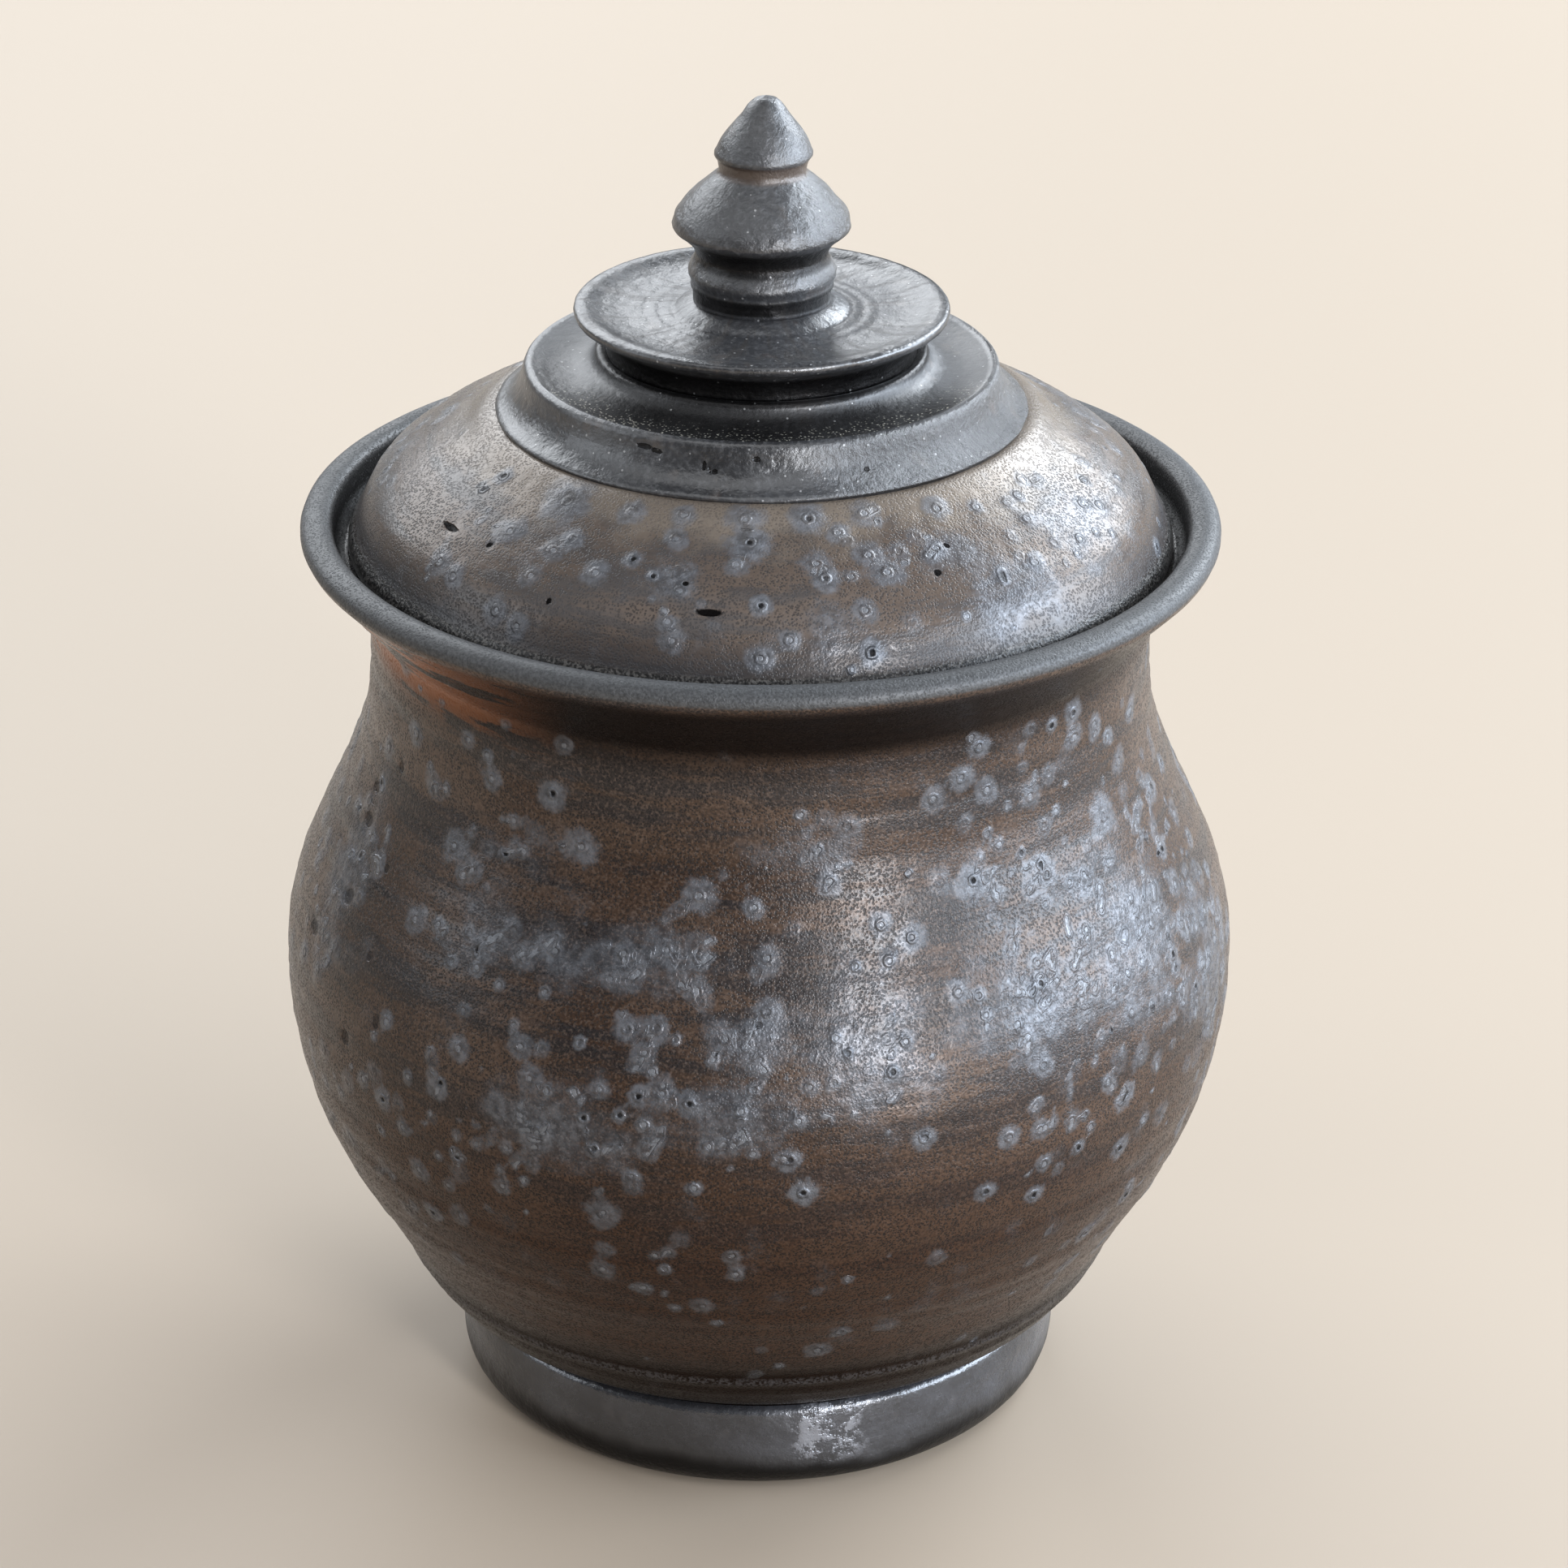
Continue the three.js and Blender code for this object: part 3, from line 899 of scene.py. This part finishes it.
halo_reach = near + (ragged - 0.5) * 0.5 + (lobed - 0.5) * 1.0
halo = halo_reach.between(1.25, 0.5) * (0.25 + 0.6 * tone)
halo_ring = halo_reach.between(0.35, 0.7) * halo_reach.between(1.1, 0.75)
centre = off_centre.between(0.40, 0.22) * near.between(0.8, 0.45)
pinhole = centre * tone.between(0.80, 0.88)
# Painted glint: a pale dot in the middle of some blisters.
painted_glint = centre * tone.between(0.80, 0.72) * tone.between(0.35, 0.5)
lip = off_centre.between(0.3, 0.5) * off_centre.between(0.95, 0.6) * near.between(0.95, 0.6)

tear = torn_edge(start, ragged, 0.7)
crust = (silver + (place.noise(260.0, 4.0, 0.6) - 0.5) * 1.2).between(0.1, 0.9)
print("umber masks:", len(tree.nodes), "nodes")

# %% [markdown]
# ## Umber: the brown of the bowl
# Iron gives the brown and manganese the freckles. The brown goes darker and redder towards the
# foot, partly its own colour and partly a painted warm reflection of the table. Painted shade
# darkens the belly where it curves in above the foot and the underside of the rim, and a thin
# painted highlight runs along the ridge. The orange band on the left under the rim is a painted
# reflection of the warm table, so it stays there when the light moves.

# %% Umber: bowl colours
grain = place.noise(2600.0, 2.0)
freckles = place.cells(2900.0).between(0.56, 0.30)
freckles = freckles * place.noise(420.0, 3.0, 0.6).between(0.28, 0.50)

streak = place.times((75.0, 75.0, 620.0)).noise(1.0, 5.0, 0.65)
broad = place.times((30.0, 30.0, 190.0)).noise(1.0, 5.0, 0.62)
cloud = place.noise(38.0, 3.0)
dark_streaks = (streak * 0.45 + broad * 0.55).between(0.53, 0.44)

brown = cloud.between(0.35, 0.65).blend((0.046, 0.025, 0.015), (0.083, 0.053, 0.037))
brown = (dark_streaks * 0.78).blend(brown, (0.019, 0.018, 0.020))
brown = (freckles * 0.85).blend(brown, (0.007, 0.005, 0.005))
brown = (grain.between(0.52, 0.66) * 0.35).blend(brown, (0.15, 0.105, 0.08))
brown = (grain.between(0.48, 0.34) * 0.6).blend(brown, (0.010, 0.009, 0.009))
# Darker and redder towards the foot: partly the glaze's own brown, partly a painted warm reflection
# of the table.
low_warm = height.between(80.0, 36.0) * (0.7 + 0.3 * cloud)
red_brown_and_reflection = (freckles * 0.8).blend((0.050, 0.019, 0.008), (0.004, 0.003, 0.003))
red_brown_and_reflection = (grain.between(0.50, 0.36) * 0.6).blend(red_brown_and_reflection, (0.006, 0.004, 0.003))
brown = (low_warm * 0.8).blend(brown, red_brown_and_reflection)
# Painted shade: the belly is darkened almost to black where it curves in above the foot.
above_foot_shade = height.between(30.0, 24.0)
# Painted highlight: a thin pale line along the trimmed ridge.
ridge_highlight = height.between(22.0, 22.6) * height.between(23.9, 23.2) * grain.between(0.4, 0.6)
brown = (above_foot_shade * 0.85).blend(brown, (0.010, 0.005, 0.003))
brown = (ridge_highlight * 0.5).blend(brown, (0.15, 0.15, 0.165))
outer = 1.0 - height.between(120.6, 121.0) * radius.between(56.6, 56.1)
outer = outer * radius.between(49.6, 50.2)
# Painted shade: the underside of the flared rim is darkened.
under_rim_shade = height.between(109.0, 116.0) * height.between(124.5, 122.0) * outer
brown = (under_rim_shade * 0.85).blend(brown, (0.010, 0.006, 0.005))
# Painted reflection: an orange band on the left under the rim, standing in for the warm table
# mirrored there.
rim_table_reflection = under_rim_shade * x.between(-0.022, -0.046) * dark_streaks.between(0.9, 0.3)
brown = (rim_table_reflection * 0.95).blend(brown, (0.34, 0.120, 0.042))
print("bowl colours:", len(tree.nodes), "nodes")

# %% [markdown]
# ## Umber: the dome, the halos and the rim
# The dome is paler, with a band of ochre under the collar. Halos, crust and holes lie over every
# brown; holes and slots are painted near black as shade, and some blisters carry a painted glint.
# The top of the rim is gunmetal, the lid's wiped edge is bare, and the gallery is painted near
# black as shade, with pale specks of dust.

# %% Umber: lid, halo and rim colours
on_lid = height.between(125.2, 125.6)
ochre_edge = radius + (place.noise(160.0, 3.0) - 0.5) * 12.0
ochre = ochre_edge.between(42.5, 37.5) * on_lid
lid_brown = (freckles * 0.8).blend((0.110, 0.083, 0.066), (0.026, 0.021, 0.019))
brown = (on_lid * 0.8).blend(brown, lid_brown)
brown = (on_lid * dark_streaks * 0.65).blend(brown, (0.05, 0.047, 0.048))
pale_ochre = (freckles * 0.55).blend((0.19, 0.155, 0.122), (0.07, 0.053, 0.043))
brown = (ochre * 0.8).blend(brown, pale_ochre)

mottle = place.noise(850.0, 3.0, 0.6)
grey = mottle.between(0.35, 0.68).blend((0.060, 0.064, 0.073), (0.150, 0.160, 0.180))
brown = (on_lid * radius.between(50.5, 53.0) * 0.7).blend(brown, (0.03, 0.03, 0.033))
glazed = halo.blend(brown, grey)
glazed = (halo_ring * tone * 0.16).blend(glazed, (0.2, 0.21, 0.235))
glazed = (crust * 0.6).blend(glazed, grey)
glazed = (crust * grain.between(0.56, 0.75) * 0.25).blend(glazed, (0.26, 0.27, 0.30))
glazed = (painted_glint * 0.35).blend(glazed, (0.30, 0.32, 0.35))
# Painted shade: pinholes, torn slots and dents are painted near black.
hole = (pinhole * 0.9).most(tear * (0.5 + 0.5 * on_lid))
glazed = hole.blend(glazed, SHADE_BLACK)

rim_top = radius.between(56.0, 56.5) * height.between(124.2, 124.9)
rim_grey = grain.between(0.3, 0.7).blend((0.050, 0.051, 0.053), (0.088, 0.090, 0.093))
glazed = rim_top.blend(glazed, rim_grey)
wiped = radius.between(52.9, 53.3) * radius.between(54.6, 54.4) * height.between(122.0, 122.4)
wiped_clay = grain.between(0.45, 0.6).blend((0.01, 0.009, 0.009), (0.09, 0.085, 0.08))
glazed = wiped.blend(glazed, wiped_clay)
# Painted shade: the gallery between rim and lid is painted near black, with pale specks of dust.
gallery = radius.between(54.3, 54.6) * radius.between(56.5, 56.0) * height.between(121.4, 121.9)
gallery_shade_and_dust = grain.between(0.6, 0.72).blend(SHADE_BLACK, (0.12, 0.12, 0.12))
glazed = gallery.blend(glazed, gallery_shade_and_dust)
print("lid and rim colours:", len(tree.nodes), "nodes")

# %% [markdown]
# ## Umber: gloss and fine relief
# Marks too fine for the mesh are a bump: pebbly glaze, wheel lines, lips around the pinholes.
# Metallic stands for the sheen of the manganese. Over a near-black colour it also removes the
# gloss, so the painted shade in holes, slots, above the foot and under the rim doesn't mirror the
# windows.

# %% Umber: surface
rough = 0.30 + (streak - 0.5) * 0.2 + halo * 0.05 + crust * 0.02 + (grain - 0.5) * 0.12
rough = rough + freckles * 0.2 + hole * 0.3 + rim_top * 0.2 + gallery * 0.3
metal = 0.2 + crust * 0.15 + halo * 0.05 + rim_top * 0.2 + under_rim_shade * 0.6
metal = (metal + low_warm * 0.55).most(above_foot_shade * 0.9).most(hole)

pebbles = place.noise(2300.0, 3.0, 0.6)
dimples = place.noise(900.0, 2.0)
wheel_lines = place.times((25.0, 25.0, 1500.0)).noise(1.0, 2.0)
lumps = place.noise(520.0, 3.0, 0.6)
bumps = pebbles * 0.03 + dimples * 0.03 + wheel_lines * 0.04 + crust * lumps * 0.10
bumps = bumps + lip * tone * 0.16 - hole * 0.2 - freckles * 0.02 + painted_glint * 0.05 + halo * 0.05
relief = start.node("Bump", Strength=1.0, Distance=0.001, Height=bumps)
join(tree, surface, Base_Color=glazed, Roughness=rough, Metallic=metal, Normal=relief)
surface.inputs["IOR"].default_value = 1.48  # near that of glass
print("umber glaze:", len(tree.nodes), "nodes")

# %% [markdown]
# ## The gunmetal glaze
# The same glaze, thick and rich in manganese, fires to a dark grey with a metallic sheen. It is
# smoother than the umber, breaks brown where it is thin and keeps the brush strokes on the saucer.
# A real metal would be simpler, but it would mirror the room.

# %% Gunmetal: steel grey and brush strokes
gunmetal, tree, surface, start = new_glaze("gunmetal_glaze")
place, x, y, height, flat, radius = where(start)
front, right = y.between(-0.004, -0.020), x.between(0.000, 0.018)
cloud = place.noise(70.0, 4.0, 0.6)
grain = place.noise(1500.0, 3.0)
ragged = place.noise(1500.0, 3.0, 0.6)
steel = cloud.between(0.3, 0.7).blend((0.014, 0.014, 0.016), (0.034, 0.035, 0.039))
steel = (grain.between(0.45, 0.8) * 0.5).blend(steel, (0.11, 0.112, 0.118))
thin = place.noise(260.0, 3.0).between(0.58, 0.74)
steel = (thin * 0.5).blend(steel, (0.045, 0.030, 0.022))

outward = flat.node("VectorMath", {"operation": "NORMALIZE"}, i0=flat)
along = start.node("CombineXYZ", Z=radius * 0.10)
strokes = outward.times((13.0, 13.0, 0.0))
strokes = strokes.node("VectorMath", {"operation": "ADD"}, i0=strokes, i1=along)
strokes = strokes.noise(1.0, 5.0, 0.65).between(0.50, 0.62)
on_saucer = height.between(152.7, 153.1) * height.between(158.5, 157.5) * radius.between(24.0, 23.3)
steel = (strokes * on_saucer * 0.7).blend(steel, (0.016, 0.012, 0.010))
print("steel grey:", len(tree.nodes), "nodes")

# %% [markdown]
# ## Gunmetal: dust, hollows and the foot
# Dust lies in the dish of the collar, deepest at the front, and the dish is darkened as painted
# shade, most at the front. The hollows of the knob and the collar's torn pits are painted near
# black as shade. The foot is cloudier, with a painted highlight at the front right and its lower
# edge darkened as painted shade.

# %% Gunmetal: dust, hollows and foot
on_dish = radius.between(20.5, 22.0) * radius.between(29.6, 29.0) * height.between(145.6, 146.0)
on_dish = on_dish * height.between(148.4, 147.9)
near_lip = radius.between(23.0, 28.0)
dust = place.cells(1900.0).between(0.30, 0.20) * place.noise(900.0, 1.0).between(0.64, 0.54)
specks = place.cells(620.0).between(0.11, 0.07) * height.between(140.0, 141.0)

# Painted shade: the hollows under the bulb, at the foot of the torus and under the saucer are
# painted near black.
bulb_foot = height.between(160.0, 161.0) * height.between(164.6, 163.6)
torus_foot = height.between(155.4, 155.9) * height.between(157.9, 157.3) * radius.between(10.6, 10.0)
saucer_under = height.between(147.6, 148.4) * height.between(152.4, 151.4)
hollows = bulb_foot + torus_foot + saucer_under
steel = (hollows * 0.85).blend(steel, SHADE_BLACK)
tip_neck = height.between(171.8, 172.3) * height.between(174.4, 173.9)
steel = (tip_neck * 0.8).blend(steel, (0.05, 0.028, 0.016))

on_foot = height.between(14.5, 13.8)
cloudy = place.noise(60.0, 4.0, 0.6).between(0.4, 0.65)
foot_grey = cloudy.blend((0.038, 0.039, 0.044), (0.075, 0.078, 0.09))
steel = (on_foot * 0.75).blend(steel, foot_grey)
# Painted highlight: a pale patch on the front right of the foot.
foot_highlight_side = right.between(0.05, 0.3) * right.between(1.0, 0.75)
foot_highlight = place.noise(300.0, 4.0, 0.7).between(0.46, 0.58) * foot_highlight_side * front * on_foot
foot_highlight = foot_highlight * height.between(3.0, 6.0)
steel = (foot_highlight * 0.8).blend(steel, (0.30, 0.31, 0.345))
foot_low_shade = (height + (place.noise(70.0, 3.0) - 0.5) * 6.0).between(8.5, 3.5) * on_foot

on_collar = height.between(140.7, 141.2) * height.between(147.5, 147.2)
tear = torn_edge(start, ragged, 0.8) * on_collar

# Painted shade: near black over the dish, most at the front, at the foot's lower edge and in the
# collar's torn pits.
black = (on_dish * (0.15 + 0.65 * front)).most(foot_low_shade * 0.95).most(tear * 0.85)
steel = black.blend(steel, SHADE_BLACK)
steel = (on_dish * near_lip * front * dust).blend(steel, (0.75, 0.72, 0.62))
steel = (specks * 0.5).blend(steel, (0.5, 0.5, 0.5))
print("dust, hollows and foot:", len(tree.nodes), "nodes")

# %% [markdown]
# ## Gunmetal: gloss and fine relief
# Gloss wanders from satin to shine, and the knob and the collar are gritty on the right. The high
# index of refraction gives the sheen that a metal-rich glaze has, without the hard mirror of bare
# metal.

# %% Gunmetal: surface
rough = 0.36 + (cloud - 0.5) * 0.34 + (grain - 0.5) * 0.2 + on_dish * 0.15 + foot_low_shade * 0.15
rough = rough - on_foot * 0.10 + strokes * on_saucer * 0.1
metal = 0.25 - thin * 0.15 + on_foot * 0.2
metal = metal.most(black * 0.9).most(hollows * 0.8)

pebbles = place.noise(1500.0, 3.0, 0.6)
tool_lines = place.times((25.0, 25.0, 1700.0)).noise(1.0, 2.0)
cast = place.noise(430.0, 4.0, 0.62)
crusted = place.noise(1000.0, 5.0, 0.7)
on_knob = height.between(157.8, 158.6) * (0.25 + 0.75 * right)
on_collar_side = on_collar * radius.between(30.0, 31.0) * right
gritty = on_knob.most(on_collar_side)
stains = place.times((60.0, 60.0, 260.0)).noise(1.0, 5.0, 0.65)
bumps = pebbles * 0.07 + cast * 0.18 + tool_lines * 0.025 + gritty * crusted * 0.6
bumps = bumps + stains * on_foot * 0.15 + foot_highlight * 0.1 - tear * 0.25
relief = start.node("Bump", Strength=1.0, Distance=0.001, Height=bumps)
join(tree, surface, Base_Color=steel, Roughness=rough, Metallic=metal, Normal=relief)
surface.inputs["IOR"].default_value = 2.05
print("gunmetal glaze:", len(tree.nodes), "nodes")

# %% [markdown]
# ## Putting the jar together
# Each piece takes its glaze, rides on its body and stands for its CAD solid. The bowl and foot
# stay on the table, and the four lid pieces lift off together.

# %% Glaze and place the pieces
for piece, node, body, finish in (
    (jar_bowl, "bowl_body", "jar", umber),
    (jar_foot, "foot_ring", "jar", gunmetal),
    (lid_dome_shell, "lid_dome", "lid", umber),
    (lid_collar_ring, "lid_collar", "lid", gunmetal),
    (knob_saucer_dish, "knob_saucer", "lid", gunmetal),
    (knob_finial_tip, "knob_finial", "lid", gunmetal),
):
    piece.data.materials.append(finish)
    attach(piece, body)
    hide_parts(node)
